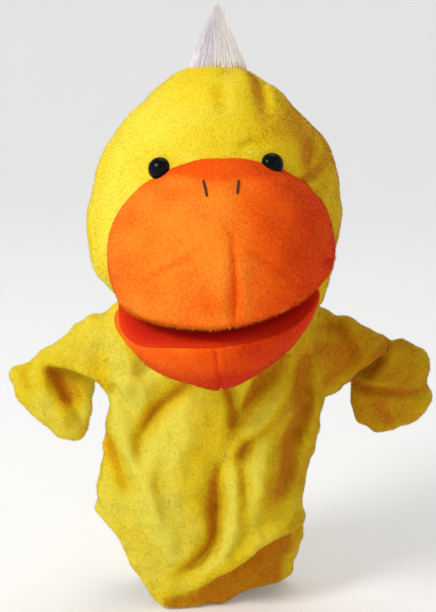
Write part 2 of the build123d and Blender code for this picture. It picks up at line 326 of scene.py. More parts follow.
def mesh_object(name, verts, faces, materials, marks=None, slots=None, normals=None):
    """A smooth-shaded mesh object from points in millimetres."""
    verts = np.asarray(verts, float) * MM
    faces = np.asarray(faces)
    mesh = bpy.data.meshes.new(name)
    n, k = faces.shape
    mesh.vertices.add(len(verts))
    mesh.vertices.foreach_set("co", verts.astype(np.float32).ravel())
    mesh.loops.add(n * k)
    mesh.loops.foreach_set("vertex_index", faces.astype(np.int32).ravel())
    mesh.polygons.add(n)
    mesh.polygons.foreach_set("loop_start", np.arange(0, n * k, k, dtype=np.int32))
    mesh.polygons.foreach_set("use_smooth", np.ones(n, bool))
    for m in materials:
        mesh.materials.append(m)
    if slots is not None:
        mesh.polygons.foreach_set("material_index", np.asarray(slots, np.int32))
    mesh.update(calc_edges=True)
    mesh.validate()
    for key, value in (marks or {}).items():
        layer = mesh.attributes.new(key, "FLOAT", "POINT")
        layer.data.foreach_set("value", np.asarray(value, np.float32))
    if normals is not None:
        mesh.normals_split_custom_set_from_vertices(normals.astype(np.float32))
    obj = bpy.data.objects.new(name, mesh)
    bpy.context.scene.collection.objects.link(obj)
    return obj


def part_of(verts, faces, normals, marks, keep):
    """The faces that keep marks, with only their own points."""
    f = faces[keep]
    used, back = np.unique(f, return_inverse=True)
    return (
        verts[used].copy(),
        back.reshape(f.shape),
        normals[used],
        {k: v[used] for k, v in marks.items()},
    )


def tucked(verts, faces, normals, marks, keep, rings=2):
    """part_of, with a tongue that goes on a little way just under the neighbouring pieces."""
    grown = keep.copy()
    sunk = np.full(len(verts), rings + 1)
    touched = np.zeros(len(verts), bool)
    touched[faces[keep]] = True
    sunk[touched] = 0
    for ring in range(1, rings + 1):
        grown |= touched[faces].any(1)
        touched[faces[grown]] = True
        sunk[touched & (sunk > rings)] = ring
    depth = np.where(sunk > 0, 0.45 + 0.12 * sunk, 0.0)
    return part_of(verts - normals * depth[:, None], faces, normals, marks, grown)


ROOT_DEPTH = 0.35  # how far each fibre starts under the cloth


def over_quads(values, f, u, v):
    """Point values blended across each quad, u and v from 0 to 1."""
    a, b, c, d = (values[f[:, i]] for i in range(4))
    return a * (1 - u) * (1 - v) + b * u * (1 - v) + c * u * v + d * (1 - u) * v


def pile(
    name, verts, faces, normals, tones, tone_at, density, length, lean, down, seed,
    thick=0.13, painted_shade=None,
):
    """Short leaning fibres over a surface: thin three-sided spikes rooted under it."""
    rng = np.random.default_rng(seed)
    a, b, c, d = (verts[faces[:, i]] for i in range(4))
    area = np.linalg.norm(np.cross(c - a, d - b), axis=1) / 2
    n = int(area.sum() * density)
    f = faces[rng.choice(len(faces), n, p=area / area.sum())]
    u, v = rng.random((2, n, 1))
    root = over_quads(verts, f, u, v)
    up = unit(over_quads(normals, f, u, v))
    way = down(root) if callable(down) else np.tile(np.array(down, float), (n, 1))
    way = unit(way - up * (way * up).sum(1)[:, None], 0.15)
    swirl = Lumps(seed + 1, 26.0).at(root) * 0.35
    lean_way = way + np.cross(up, way) * swirl[:, None]
    grow = unit(up * (1 - lean) + lean_way * lean + rng.normal(0, 0.2, (n, 3)))
    points = np.empty((n, 4, 3))
    points[:, 3] = root + grow * (length * rng.uniform(0.6, 1.15, (n, 1)))
    first = unit(np.cross(grow, rng.normal(size=(n, 3))))
    second = np.cross(grow, first)
    for i in range(3):
        angle = 2 * np.pi * i / 3
        ring = first * np.cos(angle) + second * np.sin(angle)
        points[:, i] = root - up * ROOT_DEPTH + ring * thick
    base = np.arange(n)[:, None] * 4
    tris = np.stack([base + [0, 1, 3], base + [1, 2, 3], base + [2, 0, 3]], 1).reshape(-1, 3)
    # Each fibre takes the tone of its spot, painted shade and highlight included; with a painted shade
    # value, the second half of the tones are the darker shaded copies.
    steps = len(tones) if painted_shade is None else len(tones) // 2
    tone = np.clip((tone_at(root) + rng.normal(0, 0.15, n)) * steps, 0, steps - 1).astype(int)
    if painted_shade is not None:
        tone += steps * (rng.random(n) < painted_shade(root))
    return mesh_object(name, points.reshape(-1, 3), tris, tones, slots=np.repeat(tone, 3))


# ------------------------------------------------------------------- materials


def srgb(*rgb):
    """A linear colour from display values of 0 to 255."""
    shares = [v / 255.0 for v in rgb]
    return (*(v / 12.92 if v <= 0.04045 else ((v + 0.055) / 1.055) ** 2.4 for v in shares), 1.0)


def fill(node, inputs):
    """Sets a node's inputs: a socket is linked, any other value is written in."""
    for key, value in inputs.items():
        if isinstance(value, bpy.types.NodeSocket):
            node.id_data.links.new(value, node.inputs[key])
        else:
            node.inputs[key].default_value = value
    return node


def shade(m, inputs):
    fill(m.node_tree.nodes["Principled BSDF"], inputs)
    return m


def new_material(name, inputs):
    """A material whose shader has the given inputs."""
    m = bpy.data.materials.new(name)
    m.use_nodes = True
    return shade(m, inputs)


def add(m, kind, inputs=None):
    return fill(m.node_tree.nodes.new("ShaderNode" + kind), inputs or {})


def noise(m, where, scale, detail=2.0):
    inputs = {"Scale": scale, "Detail": detail}
    return add(m, "TexNoise", {**inputs, "Vector": where} if where else inputs).outputs["Fac"]


def mark(m, name):
    """A value stored on the mesh."""
    node = add(m, "Attribute")
    node.attribute_name = name
    return node.outputs["Fac"]


def math_node(m, operation, *values):
    node = add(m, "Math")
    node.operation = operation
    return fill(node, dict(enumerate(values))).outputs[0]


def ramp(m, fac, low, high, middle=None):
    """A colour ramp between (position, colour) stops."""
    node = add(m, "ValToRGB", {"Fac": fac})
    stops = node.color_ramp.elements
    for stop, (position, colour) in zip(stops, (low, high)):
        stop.position, stop.color = position, colour
    if middle:
        stops.new(middle[0]).color = middle[1]
    return node.outputs["Color"]


def bumps(m, height, strength, distance):
    inputs = {"Strength": strength, "Distance": distance, "Height": height}
    return add(m, "Bump", inputs).outputs["Normal"]


def plush(name, deep, mid, pale, grain=900.0, sheen=0.2, patch=38.0):
    """Short-pile plush: nap patches, fold tints from the mesh that are painted shade in valleys and
    painted highlight on ridges, painted darkening from the mesh, and a fine pile grain.
    """
    m = new_material(name, {"Roughness": 0.9, "Specular IOR Level": 0.12, "Sheen Roughness": 0.45})
    where = add(m, "TexCoord").outputs["Object"]
    fine = noise(m, where, grain)
    patches = math_node(m, "MULTIPLY_ADD", noise(m, where, patch, 3.0), 0.24, -0.12)
    # The nap value on the mesh holds the nap's own tone together with painted shade and painted
    # highlight.
    total = math_node(m, "ADD", patches, mark(m, "nap"))
    speck = math_node(m, "MULTIPLY_ADD", fine, 0.5, total)
    # Painted shade: the colour is multiplied darker and more olive by the painted shade value stored
    # on the mesh.
    shade_mix = add(m, "Mix")
    shade_mix.data_type, shade_mix.blend_type = "RGBA", "MULTIPLY"
    nap = ramp(m, speck, (0.25, deep), (1.25, pale), (0.72, mid))
    fill(shade_mix, {0: mark(m, "painted_shade"), 6: nap, 7: (0.75, 0.76, 1.0, 1)})
    look = {"Base Color": shade_mix.outputs[2], "Sheen Weight": sheen, "Sheen Tint": pale}
    look["Normal"] = bumps(m, fine, 0.35, 0.0008)
    return shade(m, look)


def fibres(name, colours, rough=0.8, sheen=0.2):
    """One plain fibre material for each display colour."""
    look = {"Roughness": rough, "Specular IOR Level": 0.1, "Sheen Weight": sheen}
    return [
        new_material("%s_%d" % (name, i), {**look, "Base Color": srgb(*c), "Sheen Tint": srgb(*c)})
        for i, c in enumerate(colours)
    ]


# Each plush and pile runs from a deep to a pale tone; the deep end also serves as painted shade and
# the pale end as painted highlight.
yellow = plush("yellow_velboa", srgb(204, 120, 4), srgb(240, 208, 22), srgb(242, 226, 74))
orange = plush(
    "orange_velboa", srgb(206, 36, 2), srgb(250, 96, 6), srgb(255, 140, 36), patch=30.0, sheen=0.12
)
lining = plush(
    "mouth_fabric", srgb(164, 16, 2), srgb(204, 38, 6), srgb(224, 68, 20), grain=1500.0, sheen=0.1
)
backing = plush(
    "knit_backing", srgb(205, 170, 60), srgb(222, 198, 100), srgb(232, 214, 150), 1300.0, sheen=0.05
)
yellow_tones = fibres(
    "yellow_pile", [(196, 110, 4), (224, 164, 8), (240, 204, 20), (242, 219, 40), (242, 225, 72)]
)
# Darker, more olive copies of the yellow pile, for painted shade.
shaded_tones = fibres(
    "shaded_pile", [(166, 88, 4), (188, 134, 8), (202, 176, 24), (212, 192, 40), (220, 202, 66)]
)
orange_tones = fibres(
    "orange_pile", [(198, 28, 2), (230, 60, 3), (250, 94, 6), (255, 118, 12), (255, 144, 26)], sheen=0
)


# --------------------------------------------------------------- the soft body

# Sections of the torso: height, left, right, half depth
torso_rows = np.array([
    (-10, -62, 48, 32), (0, -64, 50, 33), (15, -67, 53, 34),
    (30, -71, 54.5, 34), (45, -77, 55, 34), (58, -81, 53, 33.5),
    (75, -78, 56, 32.5), (90, -72, 58.5, 31.5), (105, -71, 61, 30),
    (120, -69.5, 64.5, 29), (135, -67, 67, 28), (150, -67, 66, 27),
    (165, -66, 64, 26.5), (180, -64, 61, 26), (192, -58, 56, 24),
    (200, -50, 48, 20),
], float)
fine_z = np.arange(-10, 201.0, 1.0)
kernel = np.hanning(15)
kernel /= kernel.sum()


def eased(column):
    row = np.interp(fine_z, torso_rows[:, 0], torso_rows[:, column])
    return np.convolve(np.pad(row, 7, mode="edge"), kernel, mode="valid")


left_z, right_z, depth_z = eased(1), eased(2), eased(3)

# Folds seen from the front: (points as x and z, height, half width)
front_folds = [
    ([(-10, 152), (-19, 145), (-31, 134), (-40, 124), (-45, 116), (-47, 106), (-46, 94)], -4.3, 5.6),
    ([(-59, 180), (-55, 156), (-59, 138), (-60, 122), (-52, 96), (-46, 84), (-34, 52), (-18, 32)],
     3.5, 7.0),
    ([(-66, 112), (-63, 98), (-56, 85), (-49, 77)], -4.0, 6.0),
    ([(-66, 146), (-60, 138), (-56, 130)], -3.0, 4.0),
    ([(2, 95), (0, 83), (-1, 68), (-2, 47), (-10, 35), (-22, 24)], -5.2, 4.8),
    ([(34, 122), (21, 108), (13, 99)], -2.6, 4.0),
    ([(-45, 118), (-43, 92), (-39, 68), (-27, 54)], 2.4, 5.0),
    ([(13, 100), (11, 70), (9, 50), (-4, 30)], 3.0, 6.0),
    ([(56, 160), (55, 134), (53, 122), (48, 109), (45, 89), (40, 72)], -5.0, 5.0),
    ([(42, 163), (32, 151), (21, 138), (13.5, 125), (11, 117)], -4.4, 5.0),
    ([(46, 150), (31, 125), (20, 110)], 3.0, 6.0),
    ([(5, 152), (9, 138), (11, 122)], -2.8, 3.4),
    ([(22, 156), (17, 140), (12, 126)], 1.8, 3.6),
    ([(-34, 160), (-46, 140), (-50, 120)], 1.6, 6.0),
    ([(31, 113), (27, 81), (24, 61)], 3.0, 6.5),
    ([(18, 112), (16, 95), (17, 76)], -2.5, 4.5),
    ([(-22, 142), (-22, 110), (-26, 80), (-20, 40)], 2.6, 13.0),
    ([(50, 60), (40, 52), (20, 38)], 1.5, 7.0),
    # head
    ([(20, 344), (24, 332), (28, 318)], -4.2, 4.0),
    ([(44, 279), (52, 281), (62, 285)], -2.6, 3.2),
    ([(57, 301), (53, 292), (52, 286)], -2.2, 4.0),
    ([(12, 301), (20, 304), (27, 302)], -1.5, 3.0),
    ([(3, 338), (2, 328), (4, 318)], -1.5, 4.5),
    ([(40, 318), (50, 305), (57, 290)], -1.4, 6.0),
    # left sleeve and hand
    ([(-106, 152), (-95, 148.5), (-85, 147), (-75, 143)], -3.6, 2.6),
    ([(-104, 157), (-94, 153), (-84, 151), (-74, 147)], 2.0, 3.6),
    ([(-99, 147), (-93, 134), (-87, 130)], -3.0, 3.0),
    ([(-104, 138), (-98, 126), (-92, 118)], 1.8, 5.0),
    ([(-102, 152), (-93, 142), (-85, 131)], -7.0, 6.5),
    ([(-99, 150), (-88, 146), (-80, 140)], -4.0, 5.0),
    ([(-116, 156), (-119, 148), (-114, 140)], -2.0, 4.0),
    ([(-84, 118), (-80, 128), (-77, 138)], 1.5, 4.0),
    # right sleeve and hand
    ([(104, 160), (96, 152), (90, 148)], -3.5, 3.5),
    ([(70, 176), (79, 170), (80, 158), (74, 148)], 2.2, 3.5),
    ([(118, 150), (110, 146), (98, 142)], 1.8, 3.5),
    ([(100, 132), (108, 122), (112, 114)], -1.6, 4.0),
    ([(62, 182), (77, 177), (83, 166), (78, 153), (68, 142)], -4.0, 4.5),
    ([(107, 167), (98, 158), (90, 150), (83, 142)], -5.0, 3.2),
    ([(93, 153), (90, 150), (88, 148)], -4.0, 4.0),
    ([(101, 169), (92, 160), (84, 150), (76, 142)], 2.5, 4.0),
    ([(80, 141), (98, 139.5), (114, 138), (132, 138)], -4.5, 3.0),
    ([(84, 145), (100, 144), (118, 143), (130, 142)], 1.5, 3.0),
]
back_folds = [
    ([(-34, 160), (-24, 120), (-30, 70), (-22, 30)], -4.5, 7.0),
    ([(-8, 150), (4, 110), (0, 60)], 3.0, 9.0),
    ([(30, 165), (22, 120), (32, 75), (26, 20)], -5.0, 7.0),
    ([(52, 150), (48, 110), (50, 60)], 2.5, 7.0),
    ([(-60, 120), (-50, 90), (-56, 60)], -3.0, 6.0),
    ([(-20, 215), (0, 205), (22, 214)], -2.5, 6.0),
    ([(-46, 200), (-30, 192), (-12, 196)], -2.5, 5.0),
    ([(46, 200), (32, 191), (14, 196)], -2.5, 5.0),
    # the seam down the middle of the head's back
    ([(0, 338), (0, 300), (0, 250), (0, 215)], -1.2, 1.8),
]
TORSO_DEEPER = 1.45


def drawn(line, height, width):
    """A fold that lies on the torso alone is made deeper than it is listed."""
    on_torso = max(z for _, z in line) < 190 and max(abs(x) for x, _ in line) < 70
    return line, height * (TORSO_DEEPER if on_torso else 1.0), width


whole = (-145, -12), (145, 352)
front_plan = Plan(*whole).folds([drawn(*fold) for fold in front_folds])
back_plan = Plan(*whole).folds(back_folds)


def folds_at(p):
    """Heights of the front and the back folds, each fading out at the sides."""
    x, y, z = p.T
    front = front_plan.at(x, z) * smoothstep(-y, -4, 9)
    return front, back_plan.at(x, z) * smoothstep(y, -2, 10)



# The hem: its height across the front, and the rolled fold that hangs over it on the right
hem_x = np.array([
    -90, -80, -72, -66, -62, -59, -56, -51, -46, -41, -35, -29, 4, 9, 14, 19, 24, 34, 44, 60,
])
hem_at = np.array([
    60, 57, 53, 50, 45, 37, 29, 22, 15, 6, 1.5, 0.3, 0.3, 2.4, 5.2, 6.8, 8, 8.2, 7, 9,
])
roll_x = np.array([-40, -27, -13.5, -4, 8, 17.5, 26.5, 35.5, 54, 70])
roll_at = np.array([8, 11, 15, 20.5, 28, 34.5, 43, 46.5, 49, 49])
roll_deep = np.array([0, 2, 3.5, 5.5, 9, 12.5, 13, 12, 9, 6])

lumps_small = Lumps(3, 17.0)
lumps_broad = Lumps(4, 46.0)
crinkle = Lumps(12, 9.5)

outlines = {
    "sleeve_left": [(-40, 188), (-66, 185.5), (-84, 178), (-100, 170), (-114, 160), (-105, 150),
                    (-92, 147), (-80, 143), (-68, 137), (-40, 134)],
    "hand_left": [(-108, 165.5), (-120, 156), (-129, 153.5), (-132, 147), (-129, 139), (-122, 127),
                  (-112, 115), (-102, 107), (-94, 103), (-87, 104), (-84, 110), (-83.5, 118),
                  (-78, 128), (-75, 138), (-80, 148), (-94, 156)],
    "sleeve_right": [(40, 186), (61, 186), (79, 184), (90, 179), (100, 172), (107, 165), (102, 157),
                     (94, 150), (84, 140), (78, 134), (67, 130), (40, 128)],
    "hand_right": [(100, 171), (108, 167.5), (116, 168.5), (124, 165.5), (131, 158), (133, 150),
                   (130.5, 142.5), (133.5, 136), (132, 126), (126, 118.5), (113, 113), (103, 112.5),
                   (93.5, 114), (84, 121), (79.5, 131), (80.5, 143), (90, 154)],
}
sides = {"left": ((-145, 95), (-35, 200)), "right": ((35, 95), (145, 200))}
plans = {
    name: Plan(*sides[name.split("_")[1]]).outline(line) for name, line in outlines.items()
}


def pillow(d, y, half, rim):
    """A stuffed form over an outline: d is the distance to it, rim how fast it fills out."""
    edge = np.maximum(d + rim, 0.0)
    return np.sqrt(edge**2 + (y * (rim / half)) ** 2) - rim


def torso_shape(p):
    z = np.clip(p[:, 2], -10, 200)
    left = np.interp(z, fine_z, left_z)
    right = np.interp(z, fine_z, right_z)
    deep = np.interp(z, fine_z, depth_z)
    a = (right - left) / 2
    u = (p[:, 0] - (left + right) / 2) / a
    v = p[:, 1] / deep
    e = 2.35
    k = (np.abs(u) ** e + np.abs(v) ** e) ** (1 / e)
    g = np.sqrt((u / a) ** 2 + (v / deep) ** 2)
    wall = np.minimum(k * (k - 1) / np.maximum(g, 1e-4), 60.0)
    return soft_max(wall, p[:, 2] - 196, 10.0)


# How far each side of the head is drawn in from an even ellipsoid, by height
squeeze_z = np.array([196, 206, 213, 222, 230, 243, 252, 262, 275, 294, 301, 308, 315, 321, 330, 341])
squeeze_left = np.array([
    1.02, 1.06, 1.05, 1.01, 1, 1, 1, 1, 1, 1, 1.01, 1.045, 1.08, 1.095, 1.085, 1.02,
])
squeeze_right = np.array([
    1.02, 1.05, 1.055, 1.06, 1.08, 1.07, 1.05, 1.03, 1.0, 1, 1.02, 1.055, 1.09, 1.11, 1.08, 1.02,
])


HEAD_Z = 240


def head_shape(p):
    radii = np.empty((len(p), 3), np.float32)
    radii[:, 0] = head_half + 1.0
    radii[:, 1] = head_half
    radii[:, 2] = np.where(p[:, 2] > HEAD_Z, crown + 2.0 - HEAD_Z, 66.0)
    q = p.copy()
    left, right = (np.interp(p[:, 2], squeeze_z, by) for by in (squeeze_left, squeeze_right))
    q[:, 0] *= np.where(p[:, 0] > 0, right, left)
    return ellipsoid(q, (-0.5, head_y, HEAD_Z), radii)


def neck_shape(p):
    k = np.sqrt((p[:, 0] / 63.0) ** 2 + ((p[:, 1] + 3) / 38.0) ** 2)
    wall = (k - 1) * 42.0
    return soft_max(wall, np.abs(p[:, 2] - 195) - 30, 6.0)


def arm_shape(p, name, half, rim, y0):
    out = np.full(len(p), 60.0)
    side = -1 if "left" in name else 1
    near = (p[:, 0] * side > 36) & (p[:, 2] > 96) & (p[:, 2] < 198)
    q = p[near]
    d = plans[name].at(q[:, 0], q[:, 2])
    out[near] = pillow(d, q[:, 1] - y0, half, rim)
    return out


left_cuff = np.array([(-108, 156), (-104, 154), (-95, 150.5), (-85, 148), (-77, 142.5), (-70, 138.0)])
right_cuff = (np.array([107.0, 167.0]), np.array([-0.677, -0.736]), 34.0)


def under_edge(past, height, reach, low):
    """A step down just past a rolled edge, and the slight ridge of the edge itself."""
    step = height * smoothstep(past, low, 1.0) * np.exp(-((np.maximum(past, 0) / reach) ** 2))
    return step, 1.6 * np.exp(-(((past + 3.5) / 3.0) ** 2))


def cuff_step(p):
    """How far each hand stands back under the rolled lower edge of its sleeve."""
    x, y, z = p.T
    fore = smoothstep(-y, -3, 6)
    below = np.interp(x, left_cuff[:, 0], left_cuff[:, 1]) - z
    window = smoothstep(x, -108, -101) * smoothstep(-x, 71, 78)
    step, ridge = under_edge(below, 5.2, 13, -1.2)
    left = step * window - ridge * window
    origin, way, length = right_cuff
    along = (x - origin[0]) * way[0] + (z - origin[1]) * way[1]
    beyond = -(x - origin[0]) * way[1] + (z - origin[1]) * way[0]
    window = smoothstep(along, 0, 8) * smoothstep(length - along, -2, 6)
    step, ridge = under_edge(beyond, 4.6, 10, -1.0)
    right = step * window - ridge * window
    return (left + right) * fore


def hem_height(p):
    return np.interp(p[:, 0], hem_x, hem_at)


def roll_room(p):
    """How far the hollow stands back behind the rolled fold."""
    deep = np.interp(p[:, 0], roll_x, roll_deep) * smoothstep(-p[:, 1], -24, 4)
    return deep * smoothstep(np.interp(p[:, 0], roll_x, roll_at) - p[:, 2], -11, -4)


def roll_depth(p):
    """How far the cloth stands back under the rolled fold."""
    x, y, z = p.T
    at = np.interp(x, roll_x, roll_at)
    deep = np.interp(x, roll_x, roll_deep) * smoothstep(-y, -14, 12)
    back = smoothstep(at - z, -1.0, 2.5)
    ridge = np.exp(-(((z - at - 5) / 5.5) ** 2))
    return deep * back - deep * 0.36 * ridge


def body_outside(p):
    """The outer surface of all the yellow plush, apart from the throat."""
    torso = torso_shape(p) + np.where(p[:, 2] < 75, roll_depth(p), 0.0)
    f = soft_min(torso, neck_shape(p), 10.0)
    for side in ("left", "right"):
        f = soft_min(f, arm_shape(p, "sleeve_" + side, 15.5, 15.0, 0.0), 9.0)
        f = soft_min(f, arm_shape(p, "hand_" + side, 12.5, 13.0, -2.0), 3.0)
    f = soft_min(f, head_shape(p), 7.0)
    near = np.abs(f) < 12
    q = p[near]
    front, back = folds_at(q)
    fold = front + back
    calm = smoothstep(q[:, 2], 205, 225)
    seam = smoothstep(-q[:, 1], 30, 55) * smoothstep(q[:, 2], 225, 245)
    lumps = lumps_small.at(q) * (0.5 - 0.3 * calm) + lumps_broad.at(q) * (1.0 - 0.5 * calm)
    fold += lumps * (1 - 0.8 * seam)
    fold += crinkle.at(q) * 0.13 * (1 - calm)
    f[near] -= fold - cuff_step(q)
    return f


def mouth_room(p):
    """Space in front of the mouth fold, under the upper beak."""
    return soft_max(p[:, 1] - (fold_y + 3), p[:, 2] - (fold_z + 6) - 0.1 * p[:, 0], 3.0)


def hand_room(p):
    """The hollow for the wearer's hand, from the hem up into the head."""
    low = soft_max(torso_shape(p) + 3.5 + roll_room(p), p[:, 2] - 186, 6.0)
    throat = np.sqrt((p[:, 0] / 50.0) ** 2 + ((p[:, 1] + 3) / 27.0) ** 2)
    throat = soft_max((throat - 1) * 30, np.abs(p[:, 2] - 190) - 34, 5.0)
    cave = ellipsoid(p, (0, -14, 214), np.array([42.0, 34.0, 34.0], np.float32))
    return soft_min(soft_min(low, throat, 5.0), cave, 5.0)


WALL = 5.2


def body_field(p):
    f = body_outside(p)
    room = soft_max(hand_room(p), f + WALL, 1.0)
    f = soft_max(f, -room, 1.0)
    f = soft_max(f, -mouth_room(p), 2.5)
    return soft_max(f, hem_height(p) - p[:, 2], 2.2)


# Broad patches where the nap lies another way, many of them also painted light: lighter towards the
# light on the left, darker on the right, under the sleeves' edges and in the shadowed strip down the
# left side: x, z, half width, half height, amount
patches = [
    (40, 312, 22, 20, -0.16), (62, 290, 12, 12, -0.14), (-40, 318, 30, 24, 0.10),
    (-58, 262, 16, 40, 0.14), (12, 322, 14, 16, 0.08), (-24, 110, 18, 40, 0.05),
    (-28, 48, 22, 30, 0.03), (52, 118, 18, 45, -0.14), (-73, 126, 5, 26, -0.36),
    (-60, 140, 14, 22, 0.05), (8, 60, 9, 30, 0.08), (-86, 140, 7, 9, -0.2),
    (30, 15, 30, 16, -0.30), (-4, 150, 26, 14, -0.10), (26, 150, 14, 20, -0.16),
    (-60, 96, 14, 34, 0.08), (-66, 60, 14, 20, 0.10), (70, 165, 22, 20, -0.14),
    (112, 138, 30, 30, -0.11), (-93, 139, 9, 11, -0.48), (84, 160, 24, 24, -0.12),
]


def nap_and_shade_at(p):
    """Painted highlight on ridges and painted shade in valleys, on slopes away from the light, on the
    right and under the rolled fold, over the nap's own tone, 0 to 1.
    """
    x, y, z = p.T
    front, back = folds_at(p)
    folds = front + back
    # Painted shade: slopes that face away from the light, to the right and down, keep the deeper
    # colour, and slopes towards it get a painted highlight.
    rise = front_plan.at(x + 2, z - 1) - front_plan.at(x - 2, z + 1)
    slope_shade = 0.085 * np.clip(rise * smoothstep(-y, -4, 9), -3.5, 1.5)
    value = 0.49 + np.where(folds < 0, 0.064, 0.03) * folds + slope_shade + 0.03 * lumps_nap.at(p)
    # Painted light: lighter on the left, towards the light, and darker on the right.
    value += 0.12 * smoothstep(-x, -30, 70) - 0.24 * smoothstep(x, 10, 95)
    fore = smoothstep(-y, 0, 20)
    for px, pz, wide, tall, amount in patches:
        value += amount * fore * np.exp(-(((x - px) / wide) ** 2) - ((z - pz) / tall) ** 2)
    # Painted shade under the rolled fold.
    under = smoothstep(np.interp(x, roll_x, roll_at) - z, -1, 5)
    under = under * smoothstep(-y, 0, 12) * (np.interp(x, roll_x, roll_deep) > 1)
    return np.clip(value - 0.46 * under, 0.03, 0.86)


def painted_shade_at(p):
    """How much painted shade darkens the plush towards olive: most of the torso and sleeves, and more
    on the right, away from the light.
    """
    value = 0.56 * smoothstep(212 - p[:, 2], 0, 42) + 0.5 * smoothstep(p[:, 0], 12, 80) + 0.06
    return np.clip(value, 0, 1)


lumps_nap = Lumps(9, 30.0)
STEP = 1.7
verts, faces = polygonise(body_field, (-138, -92, -4), (138, 70, 346), STEP)
normals = normals_of(verts, faces)
marks = {"nap": nap_and_shade_at(verts), "painted_shade": painted_shade_at(verts)}
centre = verts[faces].mean(1)
inner_face = (body_outside(verts) < -2.0)[faces].sum(1) >= 3
cx, _, cz = centre.T

# Where the torso ends and each arm starts
COLLAR, NAPE, CHIN, ARMHOLE = 188.0, 199.0, 212.0, 69.0
hem_band = cz - np.interp(cx, hem_x, hem_at) < 12


def beyond_wrist(x, z, side):
    """Distance past the wrist towards the hand."""
    if side < 0:
        return (-x - 100) * 0.45 - (z - 154) * 0.89
    return (x - 96) * 0.80 - (z - 154) * 0.60


arms = np.zeros(len(faces), bool)
arm_zones = {}
for name, side in (("left", -1), ("right", 1)):
    past = side * cx - ARMHOLE
    arm = (past > 0) & (cz < 196) & ((cz > 133) | ((past > 6.5) & (cz > 98)))
    hand = arm & (past > 5) & (beyond_wrist(cx, cz, side) > 0)
    arm_zones["sleeve_skin_" + name] = arm & ~hand
    arm_zones["hand_skin_" + name] = hand
    arms |= arm
surface, inside = ~arms & ~inner_face, ~arms & inner_face
torso_part, neck_low = cz <= COLLAR, (cz > COLLAR) & (cz <= NAPE)
neck_high, head_part = (cz > NAPE) & (cz <= CHIN), cz > CHIN
zones = {
    "torso_skin": surface & torso_part,
    "torso_lining": inside & torso_part & ~hem_band,
    "hem_turning": inside & torso_part & hem_band,
    "neck_lower": surface & neck_low,
    "neck_upper": surface & neck_high,
    "head_skin": surface & head_part,
    "neck_lining_lower": inside & neck_low,
    "neck_lining_upper": inside & neck_high,
    "hand_cavity": inside & head_part,
}
arm_names = "sleeve_skin_left", "sleeve_skin_right", "hand_skin_left", "hand_skin_right"
for name in arm_names:
    zones[name] = arm_zones[name]
linings = ("torso_lining", "neck_lining_lower", "neck_lining_upper", "hand_cavity")
skin, roots = {}, {}
for name, keep in zones.items():
    roots[name] = part_of(verts, faces, normals, marks, keep)
    plain = name in linings or name == "hem_turning"
    v, f, n, k = roots[name] if plain else tucked(verts, faces, normals, marks, keep)
    cloth_of = backing if name in linings else yellow
    skin[name] = mesh_object(name, v, f, [cloth_of], marks=k, normals=n)

# ---------------------------------------------------------------------- beak


def tilted(p, degrees, z0):
    """Points turned about the front-to-back axis, so that a tilted form can be drawn level."""
    a = math.radians(degrees)
    q = p.copy()
    q[:, 0] = p[:, 0] * math.cos(a) + (p[:, 2] - z0) * math.sin(a)
    q[:, 2] = -p[:, 0] * math.sin(a) + (p[:, 2] - z0) * math.cos(a) + z0
    return q


BEAK_TILT, JAW_TILT = 2.2, 5.2
beak_folds = [
    ([(8, 260), (9, 240), (9, 226), (8.5, 204)], -2.2, 1.7),
    ([(3, 255), (2.5, 232), (3, 206)], 1.0, 4.0),
    ([(15, 255), (15.5, 232), (15, 206)], 0.8, 4.0),
    ([(-44, 231), (-25, 243), (-8, 254)], -1.2, 1.8),
    ([(-38, 241), (-22, 250), (-8, 258)], 0.7, 3.0),
    ([(15, 254), (30, 243), (48, 227)], -1.1, 1.7),
    ([(58, 241), (64, 236), (70, 233)], -3.0, 2.5),
    ([(-30, 216), (-10, 213), (12, 214)], 0.8, 6.0),
]
beak_plan = Plan((-75, 195), (75, 305)).folds(beak_folds)
beak_lumps = Lumps(21, 24.0)
lip_x = np.array([-70, -64, -58.7, -50, -40, -28, -15, -2, 12, 27, 40, 50, 58, 63, 70])
lip_z = np.array([219, 214, 209.5, 207, 206.2, 205.8, 206, 206.8, 208.6, 212, 216, 220, 225, 229, 236])
lip_fine = np.linspace(-70, 70, 281)


def evened(x, values):
    """A column of values over lip_fine, averaged over 25 steps of it."""
    row = np.pad(np.interp(lip_fine, x, values), 12, mode="edge")
    return np.convolve(row, np.ones(25) / 25, "valid")


lip_even = evened(lip_x, lip_z)


def lip_height(x):
    return np.interp(x, lip_fine, lip_even)


def upper_beak_outside(p):
    q = tilted(p, BEAK_TILT, 235)
    radii = np.array([beak_half - 0.8, -57 - beak_front - 1.5, 64.0], np.float32)
    f = rounded(q, (2.2, -57, 236), radii, 1.86)
    front = smoothstep(-p[:, 1], 56, 76)
    return f - beak_plan.at(p[:, 0], p[:, 2]) * front - beak_lumps.at(p) * 0.25


def upper_beak_field(p):
    lip = lip_height(p[:, 0])
    f = soft_max(upper_beak_outside(p), lip - p[:, 2], 5.0)
    recess = soft_max(f + 4.5, p[:, 2] - lip - 6.0, 2.0)
    f = soft_max(f, -recess, 1.5)
    return soft_max(f, p[:, 1] + 44, 3.0)


def jaw_polar(p):
    q = tilted(p, JAW_TILT, fold_z)
    forward = fold_y - q[:, 1]
    down = fold_z - q[:, 2]
    return q[:, 0], np.hypot(forward, down), np.arctan2(down, forward)


JAW_X = -0.6


def jaw_reach(angle):
    return 59.0 - 4.6 * smoothstep(np.degrees(angle), 25, 80)


